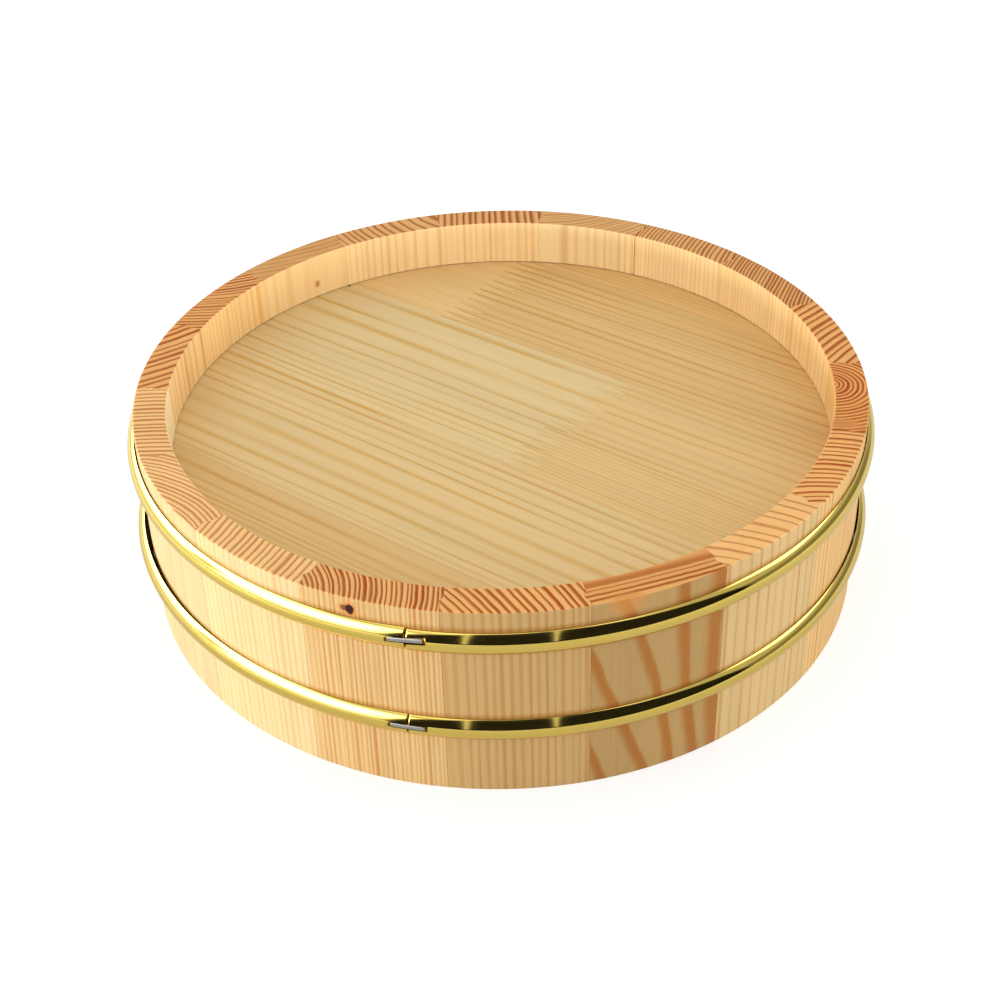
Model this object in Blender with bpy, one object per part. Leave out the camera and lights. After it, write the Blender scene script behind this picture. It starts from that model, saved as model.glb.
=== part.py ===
"""Shallow wooden tub for steamed rice, at its real size in metres, +Z up.

Eighteen upright staves stand in a ring. Each has a ridge along one edge that lies in a groove of its
neighbour. A raised board, glued up from strips, sits in a groove cut round the inside of the staves. Two
half-round brass hoops hold the ring, and each is closed by a steel key let in across its butt joint. The
wall widens a little towards the foot, and the hoops stand off it at the sides. The origin lies on the floor,
on the tub's upright axis. Angles run counter-clockwise from +X, seen from above.
"""

from math import asin, ceil, cos, dist, radians, sin, sqrt, tau

import bpy
from mathutils import Matrix, Vector

# Ring of staves
RIM_RADIUS = 0.165
FOOT_FLARE = 0.0008
TUB_HEIGHT = 0.094
WALL_THICKNESS = 0.0147
STAVE_COUNT = 18
FIRST_JOINT_ANGLE = radians(1.2)
RIDGE_HEIGHT = 0.0015
RIDGE_WIDTH = 0.0054
EDGE_CHAMFER = 0.0008
FOOT_CHAMFER = 0.0004
STAVE_ARC_STEPS = 6

# Board and the groove it sits in
BOARD_DEPTH = 0.0232
BOARD_THICKNESS = 0.012
GROOVE_DEPTH = 0.004
GRAIN_ANGLE = radians(-37.0)
STRIP_WIDTHS = (0.054, 0.070, 0.088, 0.073, 0.023)
STRIP_3_JOINT_INSET = 0.1637
STRIP_4_JOINT_INSET = 0.0007
FINGER_LENGTH = 0.016
FINGER_PITCH = 0.0058
FINGER_TIP = 0.0008
BOARD_ARC_STEP = radians(3.0)

# Hoops and their keys. The slack is how far a hoop stands off the wall at its left and its right
HOOP_HEIGHT = 0.0102
HOOP_BULGE = 0.0033
UPPER_HOOP_DROP = 0.0148
UPPER_HOOP_SLACK = (0.0006, 0.0003)
UPPER_END_STEP = 0.0007
UPPER_KEY_RISE = 0.0015
UPPER_KEY_TILT = radians(4.0)
LOWER_HOOP_DROP = 0.0598
LOWER_HOOP_SLACK = (0.0022, 0.0010)
LOWER_END_STEP = 0.0
LOWER_KEY_RISE = 0.0009
LOWER_KEY_TILT = 0.0
HOOP_SEGMENTS = 96
HOOP_SECTION_STEPS = 10
BUTT_ANGLE = radians(-103.7)
BUTT_GAP = 0.0006
END_STEP_EASE = radians(30.0)
KEY_LENGTH = 0.0138
KEY_HEIGHT = 0.0018
KEY_DEPTH = 0.0016
KEY_BEVEL = 0.0002
KEY_END_ROOM = 0.0011

# Clearance between neighbouring pieces, and the distance under which two points are one
FIT_GAP = 0.0003
SAME_POINT = 1e-7

# Tones of the wood, then the metals: colour, roughness, metallic
PALE_WOOD = ((0.78, 0.60, 0.36), 0.55, 0.0)
TAN_WOOD = ((0.70, 0.47, 0.24), 0.55, 0.0)
RED_WOOD = ((0.60, 0.35, 0.16), 0.55, 0.0)
BRASS = ((0.83, 0.66, 0.26), 0.12, 1.0)
STEEL = ((0.58, 0.58, 0.57), 0.30, 1.0)
STAVE_TONES = (TAN_WOOD, RED_WOOD, PALE_WOOD, PALE_WOOD, TAN_WOOD, PALE_WOOD)
STRIP_TONES = (TAN_WOOD, PALE_WOOD, PALE_WOOD, TAN_WOOD, PALE_WOOD)

# Worked out from the sizes above
INNER_RADIUS = RIM_RADIUS - WALL_THICKNESS
GROOVE_RADIUS = INNER_RADIUS + GROOVE_DEPTH
BOARD_RADIUS = GROOVE_RADIUS - FIT_GAP
BOARD_TOP = TUB_HEIGHT - BOARD_DEPTH
BOARD_BOTTOM = BOARD_TOP - BOARD_THICKNESS
SHADE_ANGLE = radians(30.0)


def clear_scene():
    for item in list(bpy.data.objects):
        bpy.data.objects.remove(item, do_unlink=True)


def make_material(name, tone):
    """A plain surface of one tone: (colour, roughness, metallic)."""
    colour, roughness, metallic = tone
    material = bpy.data.materials.new(name)
    material.use_nodes = True
    shader = material.node_tree.nodes["Principled BSDF"]
    shader.inputs["Base Color"].default_value = (*colour, 1.0)
    shader.inputs["Roughness"].default_value = roughness
    shader.inputs["Metallic"].default_value = metallic
    material.diffuse_color = (*colour, 1.0)
    return material


def make_object(name, points, faces, tone):
    """A mesh object. Points that coincide become one, and a face that this leaves without an area goes."""
    index_of = {}
    merged = []
    for point in points:
        key = tuple(round(value / SAME_POINT) for value in point)
        merged.append(index_of.setdefault(key, len(index_of)))
    unique_points = {number: point for number, point in zip(merged, points)}
    kept_faces = []
    for face in faces:
        corners = [merged[i] for i in face]
        corners = [c for i, c in enumerate(corners) if c != corners[i - 1]]
        if len(set(corners)) > 2:
            kept_faces.append(corners)
    mesh = bpy.data.meshes.new(name)
    mesh.from_pydata([unique_points[number] for number in range(len(index_of))], [], kept_faces)
    mesh.validate()
    mesh.shade_smooth()
    mesh.set_sharp_from_angle(angle=SHADE_ANGLE)
    mesh.materials.append(make_material(name, tone))
    made = bpy.data.objects.new(name, mesh)
    bpy.context.scene.collection.objects.link(made)
    return made


def loft(name, rings, tone):
    """Skins a run of rings of equally many points and closes both ends.

    Seen along the run, from its last ring back to its first, each ring turns counter-clockwise.
    """
    count = len(rings[0])
    points = [point for ring in rings for point in ring]
    faces = []
    for level in range(len(rings) - 1):
        low = level * count
        high = low + count
        for i in range(count):
            j = (i + 1) % count
            faces.append((low + i, low + j, high + j, high + i))
    faces.append(tuple(reversed(range(count))))
    faces.append(tuple(range((len(rings) - 1) * count, len(rings) * count)))
    return make_object(name, points, faces, tone)


def without_repeats(outline):
    """The outline with points that coincide with the one before left out."""
    return [point for i, point in enumerate(outline) if dist(point, outline[i - 1]) > SAME_POINT]


def extrude(name, outline, low, high, tone):
    """A prism on a counter-clockwise outline of (x, y), from height low to height high."""
    outline = without_repeats(outline)
    return loft(name, [[(x, y, z) for x, y in outline] for z in (low, high)], tone)


def wall_radius(height):
    """Outside radius of the ring of staves at this height. It widens evenly from the rim to the foot."""
    return RIM_RADIUS + FOOT_FLARE * (1 - height / TUB_HEIGHT)


def joint_angle(number):
    return FIRST_JOINT_ANGLE + number * tau / STAVE_COUNT


def on_joint(number, radius, across):
    """The point at this radius on a joint, and this far across it, counter-clockwise."""
    angle = joint_angle(number)
    return (radius * cos(angle) - across * sin(angle), radius * sin(angle) + across * cos(angle))


def joint_edge(number, inner_radius, outer_radius, side):
    """A stave's edge along a joint, from inside to outside. The side is +1 past the joint, -1 before it.

    Both edges bend the same way, so the ridge of one stave lies in the groove of the other.
    """
    face = side * FIT_GAP / 2
    middle = (GROOVE_RADIUS + RIM_RADIUS) / 2
    half = RIDGE_WIDTH / 2
    places = (
        (inner_radius, face),
        (GROOVE_RADIUS, face),
        (middle - half, face),
        (middle, face - RIDGE_HEIGHT),
        (middle + half, face),
        (outer_radius, face),
    )
    return [on_joint(number, radius, across) for radius, across in places]


def stave_outline(number, inner_radius, outer_radius):
    """A stave seen from above, counter-clockwise."""
    steps = [joint_angle(number + i / STAVE_ARC_STEPS) for i in range(1, STAVE_ARC_STEPS)]
    outside = [(outer_radius * cos(a), outer_radius * sin(a)) for a in steps]
    inside = [(inner_radius * cos(a), inner_radius * sin(a)) for a in reversed(steps)]
    first_edge = joint_edge(number, inner_radius, outer_radius, 1)
    last_edge = joint_edge(number + 1, inner_radius, outer_radius, -1)
    return first_edge + outside + last_edge[::-1] + inside


def make_stave(number):
    """One stave, skinned through the levels where its inner or outer face steps."""
    groove_low = BOARD_BOTTOM - FIT_GAP
    groove_high = BOARD_TOP + FIT_GAP
    levels = (
        (0.0, INNER_RADIUS + FOOT_CHAMFER, FOOT_CHAMFER),
        (FOOT_CHAMFER, INNER_RADIUS, 0.0),
        (groove_low, INNER_RADIUS, 0.0),
        (groove_low, GROOVE_RADIUS, 0.0),
        (groove_high, GROOVE_RADIUS, 0.0),
        (groove_high, INNER_RADIUS, 0.0),
        (TUB_HEIGHT - EDGE_CHAMFER, INNER_RADIUS, 0.0),
        (TUB_HEIGHT, INNER_RADIUS + EDGE_CHAMFER, EDGE_CHAMFER),
    )
    rings = []
    for z, inner_radius, chamfer in levels:
        outline = stave_outline(number, inner_radius, wall_radius(z) - chamfer)
        rings.append([(x, y, z) for x, y in outline])
    tone = STAVE_TONES[number % len(STAVE_TONES)]
    return loft(f"stave_{number + 1:02d}", rings, tone)


def make_staves():
    for number in range(STAVE_COUNT):
        make_stave(number)


def half_chord(offset):
    """Half the length of the line across the board at this offset from its middle."""
    return sqrt(max(BOARD_RADIUS**2 - offset**2, 0.0))


def strip_offsets():
    """The edges and glue lines of the board, as offsets across the grain from its middle.

    The strips are ripped to the given widths, and all give way alike so that together they fill the board.
    """
    share = 2 * BOARD_RADIUS / sum(STRIP_WIDTHS)
    return [share * sum(STRIP_WIDTHS[:i]) - BOARD_RADIUS for i in range(len(STRIP_WIDTHS) + 1)]


def round_end(low, high):
    """The board's round edge at the far end of the grain, between two offsets, as (along, across)."""
    start = asin(max(-1.0, low / BOARD_RADIUS))
    end = asin(min(1.0, high / BOARD_RADIUS))
    count = max(2, ceil((end - start) / BOARD_ARC_STEP))
    angles = [start + (end - start) * i / count for i in range(count + 1)]
    return [(BOARD_RADIUS * cos(a), BOARD_RADIUS * sin(a)) for a in angles]


def finger_line(place, low, high, shift):
    """The zigzag of a finger joint between two offsets, each run moved square to itself by the shift."""
    count = max(1, round((high - low) / FINGER_PITCH))
    pitch = (high - low) / count
    near = place - FINGER_LENGTH / 2
    far = place + FINGER_LENGTH / 2
    rise = pitch / 2 - FINGER_TIP
    slant = rise / FINGER_LENGTH
    nudge = shift * (sqrt(1 + slant**2) - slant)
    points = [(near + shift, low)]
    for i in range(count):
        root = low + i * pitch + FINGER_TIP / 2
        points.append((near + shift, root - nudge))
        points.append((far + shift, root + rise - nudge))
        points.append((far + shift, root + rise + FINGER_TIP + nudge))
        points.append((near + shift, root + 2 * rise + FINGER_TIP + nudge))
    return points + [(near + shift, high)]


def make_board_piece(name, low, high, start, end, tone):
    """A piece of a strip between two offsets. An end is a finger joint's place, or None at the rim."""
    if end is None:
        right = round_end(low, high)
    else:
        right = finger_line(end, low, high, -FIT_GAP / 2)
    if start is None:
        left = [(-along, across) for along, across in round_end(low, high)]
    else:
        left = finger_line(start, low, high, FIT_GAP / 2)
    turn = Matrix.Rotation(GRAIN_ANGLE, 2)
    outline = [tuple(turn @ Vector(point)) for point in right + left[::-1]]
    return extrude(name, outline, BOARD_BOTTOM, BOARD_TOP, tone)


def make_board():
    """The strips, edge to edge. A joint inset runs from the left end of the shorter edge to the fingers."""
    insets = {3: STRIP_3_JOINT_INSET, 4: STRIP_4_JOINT_INSET}
    offsets = strip_offsets()
    strips = list(zip(offsets[:-1], offsets[1:]))
    for number, (first, second) in enumerate(strips, start=1):
        low = first + (FIT_GAP / 2 if number > 1 else 0.0)
        high = second - (FIT_GAP / 2 if number < len(strips) else 0.0)
        tone = STRIP_TONES[(number - 1) % len(STRIP_TONES)]
        name = f"board_strip_{number}"
        if number not in insets:
            make_board_piece(name, low, high, None, None, tone)
        else:
            place = insets[number] + FINGER_LENGTH / 2 - min(half_chord(low), half_chord(high))
            make_board_piece(f"{name}_left", low, high, None, place, tone)
            make_board_piece(f"{name}_right", low, high, place, None, tone)


def ease(share):
    """A smooth fall from 1 at share 0 to 0 at share 1."""
    share = min(max(share, 0.0), 1.0)
    return 1 - share * share * (3 - 2 * share)


def stand_off(angle, slack):
    """How far a hoop stands off the wall at this angle. It lies close over the third in front and behind."""
    left, right = slack
    side = max(0.0, 2 * abs(cos(angle)) - 1)
    return side**2 * (left if cos(angle) < 0 else right)


def hoop_crest(drop):
    """The outside radius of a hoop where it lies close to the wall."""
    return wall_radius(TUB_HEIGHT - drop) + FIT_GAP + HOOP_BULGE


def make_hoop(name, drop, slack, end_step):
    """A half-round band on the ring of staves. Near the butt its first end rides half the step low.

    The band runs counter-clockwise from the butt, so its first end is the right one, seen from outside.
    """
    half_gap = BUTT_GAP / 2 / RIM_RADIUS
    sweep = tau - 2 * half_gap
    middle = TUB_HEIGHT - drop
    back = hoop_crest(drop) - HOOP_BULGE
    section = []
    for i in range(HOOP_SECTION_STEPS + 1):
        turn = tau / 2 * (i / HOOP_SECTION_STEPS - 0.5)
        section.append((back + HOOP_BULGE * cos(turn), HOOP_HEIGHT / 2 * sin(turn)))
    rings = []
    for i in range(HOOP_SEGMENTS + 1):
        along = sweep * i / HOOP_SEGMENTS
        angle = BUTT_ANGLE + half_gap + along
        lift = end_step / 2 * (ease((sweep - along) / END_STEP_EASE) - ease(along / END_STEP_EASE))
        off = stand_off(angle, slack)
        ring = [((r + off) * cos(angle), (r + off) * sin(angle), middle + lift + z) for r, z in section]
        rings.append(ring[::-1])
    return loft(name, rings, BRASS)


def key_frame(height, tilt):
    """Places a key or its slot at the butt: X along the band, Y upwards, Z straight out from the tub."""
    outward = Vector((cos(BUTT_ANGLE), sin(BUTT_ANGLE), 0.0))
    along = Vector((-sin(BUTT_ANGLE), cos(BUTT_ANGLE), 0.0))
    turn = Matrix((along, Vector((0.0, 0.0, 1.0)), outward)).transposed().to_4x4()
    return Matrix.Translation(Vector((0.0, 0.0, height))) @ turn @ Matrix.Rotation(tilt, 4, "Z")


def make_slot_cutter(name, place, crest, end_step):
    """The slot for a key. In the end that rides low it reaches down by the step, to take the key."""
    half_length = KEY_LENGTH / 2 + KEY_END_ROOM
    half_height = KEY_HEIGHT / 2 + FIT_GAP
    outline = (
        (-half_length, half_height),
        (-half_length, -half_height),
        (0.0, -half_height),
        (0.0, -half_height - end_step),
        (half_length, -half_height - end_step),
        (half_length, half_height),
    )
    floor = crest - KEY_DEPTH - FIT_GAP
    cutter = extrude(name, outline, floor, crest + KEY_DEPTH, STEEL)
    cutter.matrix_world = place
    cutter.hide_render = True
    cutter.display_type = "WIRE"
    return cutter


def make_key(name, place, crest):
    """A steel bar whose outer face is level with the crest of the band."""
    across = KEY_LENGTH / 2
    up = KEY_HEIGHT / 2
    outline = ((-across, up), (-across, -up), (across, -up), (across, up))
    key = extrude(name, outline, crest - KEY_DEPTH, crest, STEEL)
    key.matrix_world = place
    bevel = key.modifiers.new("Eased edges", "BEVEL")
    bevel.width = KEY_BEVEL
    bevel.segments = 2
    return key


def make_keyed_hoop(which, drop, slack, end_step, key_rise, key_tilt):
    """A hoop with its key. The key sits this far above the middle of the band, tilted up to the right."""
    hoop = make_hoop(f"hoop_{which}", drop, slack, end_step)
    crest = hoop_crest(drop)
    place = key_frame(TUB_HEIGHT - drop + key_rise, key_tilt)
    cutter = make_slot_cutter(f"key_slot_{which}", place, crest, end_step)
    slot = hoop.modifiers.new("Key slot", "BOOLEAN")
    slot.operation = "DIFFERENCE"
    slot.solver = "EXACT"
    slot.object = cutter
    make_key(f"hoop_key_{which}", place, crest)


def main():
    clear_scene()
    make_staves()
    make_board()
    make_keyed_hoop(
        "upper", UPPER_HOOP_DROP, UPPER_HOOP_SLACK, UPPER_END_STEP, UPPER_KEY_RISE, UPPER_KEY_TILT
    )
    make_keyed_hoop(
        "lower", LOWER_HOOP_DROP, LOWER_HOOP_SLACK, LOWER_END_STEP, LOWER_KEY_RISE, LOWER_KEY_TILT
    )


main()
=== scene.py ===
"""A shallow tub for steamed rice: eighteen softwood staves, a raised board and two brass hoops.

Each piece is a surface worked out with numpy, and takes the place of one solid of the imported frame. Sizes
are in metres, Z is up, and the origin lies on the floor, on the tub's upright axis. Angles run
counter-clockwise from +X, seen from above.
"""

from collections import namedtuple
from math import cos, hypot, pi, radians, sin, tau

import bpy
import numpy as np
from bpy.props import FloatProperty, FloatVectorProperty, PointerProperty
from bpy.types import Operator, Panel, PropertyGroup
from mathutils import Matrix, Vector


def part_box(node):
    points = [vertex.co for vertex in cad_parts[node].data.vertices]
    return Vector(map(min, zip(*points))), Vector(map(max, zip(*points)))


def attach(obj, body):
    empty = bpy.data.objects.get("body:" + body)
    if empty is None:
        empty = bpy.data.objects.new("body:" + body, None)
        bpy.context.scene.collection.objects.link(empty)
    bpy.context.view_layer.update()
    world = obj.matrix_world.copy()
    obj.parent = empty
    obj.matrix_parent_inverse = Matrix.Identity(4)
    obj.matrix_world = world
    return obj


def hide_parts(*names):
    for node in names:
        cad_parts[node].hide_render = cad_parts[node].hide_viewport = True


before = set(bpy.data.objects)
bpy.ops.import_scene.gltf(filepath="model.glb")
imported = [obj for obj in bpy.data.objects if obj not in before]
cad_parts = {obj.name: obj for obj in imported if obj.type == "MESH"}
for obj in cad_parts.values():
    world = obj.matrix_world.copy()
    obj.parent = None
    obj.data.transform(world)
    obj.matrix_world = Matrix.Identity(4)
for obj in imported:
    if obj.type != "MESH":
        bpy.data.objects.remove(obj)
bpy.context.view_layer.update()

bl_info = {
    "name": "Rice tub",
    "version": (1, 0, 0),
    "blender": (4, 5, 0),
    "location": "3D View > Sidebar > Rice tub",
    "description": "Dresses the solids of a coopered tub for steamed rice in softwood, brass and steel",
    "category": "Add Mesh",
}

BODY = "root"
MM = 0.001

# The gap that the solids keep between neighbours
FIT_GAP = 0.0003

# The ring of staves
STAVE_COUNT = 18
STAVE_ANGLE = tau / STAVE_COUNT
FIRST_JOINT_ANGLE = radians(1.2)
STAVE_ARC_STEPS = 26
STAVE_DEPTH_STEPS = 8

# How far the even rows of a stave keep from its foot, its groove and its rim, and over what height the
# groove opens
LEVEL_ROOM = (0.008, 0.004, 0.005)
GROOVE_SLACK = 0.0001

# The board: how its grain lies, and its strips across the grain
GRAIN_ANGLE = radians(-37.0)
FINGER_LENGTH = 0.016
FINGER_PITCH = 0.0058
FINGER_TIP = 0.0008

# How far the first and last line across the board stay inside its circle
BOARD_ROOM = 0.0002

# The hoops: over what angle the upper one's ends part, what marks the back of a hoop in its flat map, how
# far that back clears the wall, how its ends are eased and how far from them the rows stand close
END_STEP_EASE = radians(30.0)
BACK_MARK = 0.05
BACK_ROOM = 0.0001
HOOP_END_EASE = 0.0003
CLOSE_ROWS = 0.016
HOOP_STEPS = 540
SECTION_STEPS = 24

# The lower lip of a hoop's back, as shares of half its height: where it leaves the wall, and over how much
LIP_START = -0.7
LIP_SPAN = 0.2

# Folds sharper than this stay crisp
SHADE_ANGLE = radians(24.0)


# Sizes and colours


def length(name, description, default):
    return FloatProperty(name=name, description=description, default=default, unit="LENGTH", precision=4)


def colour(name, description, default):
    return FloatVectorProperty(
        name=name, description=description, default=default, subtype="COLOR", size=3, min=0.0, max=1.0
    )


class TubSizes(PropertyGroup):
    """The tub's sizes. Those that the solids of the frame show are read from them."""

    rim_radius: length("Rim radius", "Outside radius of the ring of staves", 0.165)
    wall_thickness: length("Wall thickness", "Thickness of a stave", 0.0147)
    tub_height: length("Tub height", "Height of the staves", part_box("stave_01")[1].z)
    foot_flare: length("Foot flare", "How much wider in radius the wall is at the foot", 0.0008)
    rim_rounding: length("Rim rounding", "How far the edges of the rim are eased", 0.0008)
    foot_rounding: length("Foot rounding", "How far the edges of the foot are eased", 0.0004)
    joint_gap: length("Joint gap", "Hairline between two staves", 0.00009)
    joint_easing: length("Joint easing", "Rounding of the arrises along a joint", 0.00009)
    ridge_height: length("Ridge height", "How far a stave's ridge stands out from its edge", 0.0015)
    ridge_width: length("Ridge width", "Width of that ridge", 0.0054)
    groove_depth: length("Groove depth", "Depth of the groove that holds the board", 0.004)
    board_top: length("Board top", "Height of the board's upper face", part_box("board_strip_1")[1].z)
    board_bottom: length("Board bottom", "Height of the board's lower face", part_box("board_strip_1")[0].z)
    board_gap: length("Board gap", "Dark line between the board and the edge of its groove", 0.0004)
    glue_line: length("Glue line", "Hairline between two strips of the board", 0.00005)
    hoop_height: length("Hoop height", "Height of a brass hoop", 0.0102)
    hoop_bulge: length("Hoop bulge", "How far a hoop stands out from the wall", 0.0033)
    hoop_edge: length("Hoop edge", "Thickness of a hoop at its upper and lower edge", 0.0002)
    butt_gap: length("Butt gap", "Gap between the two ends of a hoop", 0.0006)
    key_length: length("Key length", "Length of the steel key across a hoop's joint", 0.0138)
    key_height: length("Key height", "Height of that key", 0.0018)
    key_depth: length("Key depth", "How deep that key is let in", 0.0016)


class TubColours(PropertyGroup):
    """The colours of the timber, the metals and the floor, as linear light."""

    pale_side: colour("Pale side grain", "Early wood, seen along the grain", (0.695, 0.49, 0.225))
    dark_side: colour("Dark side grain", "Late wood, seen along the grain", (0.47, 0.185, 0.045))
    # The inside of the wall takes lighter colours than the outside: painted light, standing in for the light
    # on the inner face
    lit_inner_side: colour("Lit inner side grain", "Early wood on the inside of the wall", (0.90, 0.69, 0.37))
    lit_inner_late: colour("Lit inner late wood", "Late wood on the inside of the wall", (0.72, 0.35, 0.08))
    pale_end: colour("Pale end grain", "Early wood, cut across", (0.755, 0.43, 0.155))
    dark_end: colour("Dark end grain", "Late wood, cut across", (0.33, 0.055, 0.0))
    pale_board: colour("Pale board", "Early wood of the board", (0.71, 0.495, 0.22))
    dark_board: colour("Dark board", "Late wood of the board", (0.58, 0.265, 0.02))
    knot: colour("Knot", "The heart of a knot", (0.035, 0.012, 0.012))
    halo: colour("Knot halo", "The resinous wood round a knot", (0.62, 0.25, 0.065))
    brass: colour("Brass", "Polished brass of the hoops", (0.80, 0.59, 0.135))
    # The dark back of the hoops: dull tarnish, and painted shade for the gap between hoop and wall
    tarnish_and_gap_shade: colour("Tarnish and gap shade", "The dull back of the hoops", (0.14, 0.09, 0.07))
    steel: colour("Steel", "Brushed steel of the keys", (0.42, 0.41, 0.39))
    floor: colour("Floor", "The pale floor", (0.5, 0.5, 0.49))


# Surfaces


def quads(grid):
    """Faces between the rows and columns of a grid of point numbers, facing where rows cross columns."""
    corners = [grid[:-1, :-1], grid[1:, :-1], grid[1:, 1:], grid[:-1, 1:]]
    return np.stack(corners, axis=-1).reshape(-1, 4)


def shell(u, v, w):
    """The skin of a box: each place (u, v, w) of the grid with its first or last value on some axis."""
    shape = (len(u), len(v), len(w))
    i, j, k = np.indices(shape)
    outside = (i % (shape[0] - 1) == 0) | (j % (shape[1] - 1) == 0) | (k % (shape[2] - 1) == 0)
    number = np.full(shape, -1)
    number[outside] = np.arange(outside.sum())
    points = np.stack([u[i[outside]], v[j[outside]], w[k[outside]]], axis=1)
    sides = (
        number[-1],
        number[0].T,
        number[:, 0],
        number[:, -1].T,
        number[:, :, -1],
        number[:, :, 0].T,
    )
    return points, np.concatenate([quads(side) for side in sides])


def places(low, high, radius, inner, steps=3):
    """Places from low to high: the inner ones, and at both ends those that spread evenly round an edge.

    An edge of this radius turns in equal steps when its places lie at radius x (1 - tan turn).
    """
    end = radius * (1 - np.tan(np.linspace(0, pi / 4, steps + 1)))
    inner = [place for place in inner if low + 1.01 * radius < place < high - 1.01 * radius]
    return np.concatenate([low + end[::-1], inner, high - end])


def rounded(points, low, high, radius):
    """Rounds a box.

    A point is pulled into the box that is smaller by the radius on every side, then pushed out again by the
    radius in the direction it came from.
    """
    inner = np.clip(points, np.add(low, radius), np.subtract(high, radius))
    away = points - inner
    reach = np.linalg.norm(away, axis=1, keepdims=True)
    return inner + np.where(reach > 0, away * radius / np.maximum(reach, 1e-12), 0)


def on_ring(radius, angle, height):
    """Places given round the tub's axis, as points: (r cos angle, r sin angle, height)."""
    return np.stack([radius * np.cos(angle), radius * np.sin(angle), height], axis=1)


def make_piece(name, points, faces, material, node, flat_map=None):
    """A mesh of these points and faces that stands for a solid of the frame and moves with the tub.

    The flat map, where given, holds one (along, across) for each point and becomes the UV map "Band".
    """
    mesh = bpy.data.meshes.new(name)
    mesh.from_pydata(points.tolist(), [], faces.tolist())
    if flat_map is not None:
        corners = np.empty(len(mesh.loops), np.int32)
        mesh.loops.foreach_get("vertex_index", corners)
        band = mesh.uv_layers.new(name="Band")
        band.uv.foreach_set("vector", flat_map[corners].astype(np.float32).ravel())
    mesh.shade_smooth()
    mesh.set_sharp_from_angle(angle=SHADE_ANGLE)
    mesh.materials.append(material)
    piece = bpy.data.objects.new(name, mesh)
    bpy.context.scene.collection.objects.link(piece)
    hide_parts(node)
    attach(piece, BODY)
    return piece


def wall_radius(height, sizes):
    """Outside radius of the wall at this height. It grows evenly from the rim down to the foot."""
    return sizes.rim_radius + sizes.foot_flare * (1 - height / sizes.tub_height)


def rounding(distance, ease):
    """How far an edge eased by e is drawn in at a distance d from it: e (1 - sqrt(1 - (1 - d/e)^2))."""
    share = np.clip(1 - distance / ease, 0, 1)
    return ease * (1 - np.sqrt(1 - share**2))


def stave_surface(number, gap_before, gap_after, sizes):
    """One stave: a box of depth x arc x height, carried onto its sector of the ring.

    Depth u runs from the inner radius, which steps back in the groove, to the outer one, both drawn in at
    the rounded rim and foot. Arc v runs over the sector less its gaps. The whole stave is turned by the
    ridge, V(r) / r, where V is a triangle at the middle of the wall, so ridge and groove are the same line.
    """
    outer = sizes.rim_radius
    inner = outer - sizes.wall_thickness
    groove = inner + sizes.groove_depth
    ridge_middle = (groove + outer) / 2
    half_ridge = sizes.ridge_width / 2
    mean = (inner + outer) / 2
    arc = mean * STAVE_ANGLE
    ease = sizes.joint_easing
    slack = GROOVE_SLACK
    from_foot, from_groove, from_rim = LEVEL_ROOM
    groove_low = sizes.board_bottom - slack
    groove_high = sizes.board_top + sizes.board_gap
    round_steps = 1 - np.sin(np.linspace(0, pi / 2, 7)[:-1])
    levels = [
        *(sizes.foot_rounding * round_steps[::-1]),
        *np.linspace(from_foot, groove_low - from_groove, 5),
        groove_low,
        groove_low + slack,
        (groove_low + groove_high) / 2,
        groove_high - slack,
        groove_high,
        *np.linspace(groove_high + from_groove, sizes.tub_height - from_rim, 3),
        *(sizes.tub_height - sizes.rim_rounding * round_steps),
    ]
    depths = np.linspace(0, sizes.wall_thickness, STAVE_DEPTH_STEPS + 1)[1:-1]
    bends = (ridge_middle - half_ridge, ridge_middle, ridge_middle + half_ridge)
    ridge = [place - inner for place in bends]
    u = places(0, sizes.wall_thickness, ease, sorted([*depths, *ridge]), 2)
    v = places(0, arc, ease, np.linspace(0, arc, STAVE_ARC_STEPS + 1)[1:-1], 2)
    w = places(0, sizes.tub_height, ease, sorted(levels), 2)
    points, faces = shell(u, v, w)
    points = rounded(points, (0, 0, 0), (sizes.wall_thickness, arc, sizes.tub_height), ease)
    depth, along, height = points.T
    inset = rounding(sizes.tub_height - height, sizes.rim_rounding) + rounding(height, sizes.foot_rounding)
    in_groove = np.clip(np.minimum(height - groove_low, groove_high - height) / slack, 0, 1)
    near = inner + inset + in_groove * sizes.groove_depth
    far = wall_radius(height, sizes) - inset
    radius = near + depth / sizes.wall_thickness * (far - near)
    shift = -sizes.ridge_height * np.clip(1 - np.abs(radius - ridge_middle) / half_ridge, 0, 1)
    first = FIRST_JOINT_ANGLE + number * STAVE_ANGLE + gap_before / 2 / radius
    sweep = STAVE_ANGLE - (gap_before + gap_after) / 2 / radius
    angle = first + along / arc * sweep + shift / radius
    return on_ring(radius, angle, height), faces


def finger_edge(across, low, high, place, shift):
    """The zigzag of a finger joint, as distances along the grain for these places across it.

    It is a trapezoid wave: it climbs by the finger's length over the slope, rests on the tip, and falls.
    """
    count = max(1, round((high - low) / FINGER_PITCH))
    pitch = (high - low) / count
    rise = pitch / 2 - FINGER_TIP
    phase = (across - low) % pitch
    level = np.clip((phase - FINGER_TIP / 2) / rise, 0, 1)
    level -= np.clip((phase - rise - 1.5 * FINGER_TIP) / rise, 0, 1)
    slant = rise / FINGER_LENGTH
    on_slope = (level > 1e-6) & (level < 1 - 1e-6)
    push = np.where(on_slope, np.hypot(1, slant) / slant, 1.0)
    return place + (level - 0.5) * FINGER_LENGTH + shift * push


def finger_breaks(low, high):
    """The places across the grain where a finger joint bends."""
    count = max(1, round((high - low) / FINGER_PITCH))
    pitch = (high - low) / count
    rise = pitch / 2 - FINGER_TIP
    bends = FINGER_TIP / 2 + np.array([0, rise, FINGER_TIP + rise, FINGER_TIP + 2 * rise])
    return (low + pitch * np.arange(count)[:, None] + bends).ravel()


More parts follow.
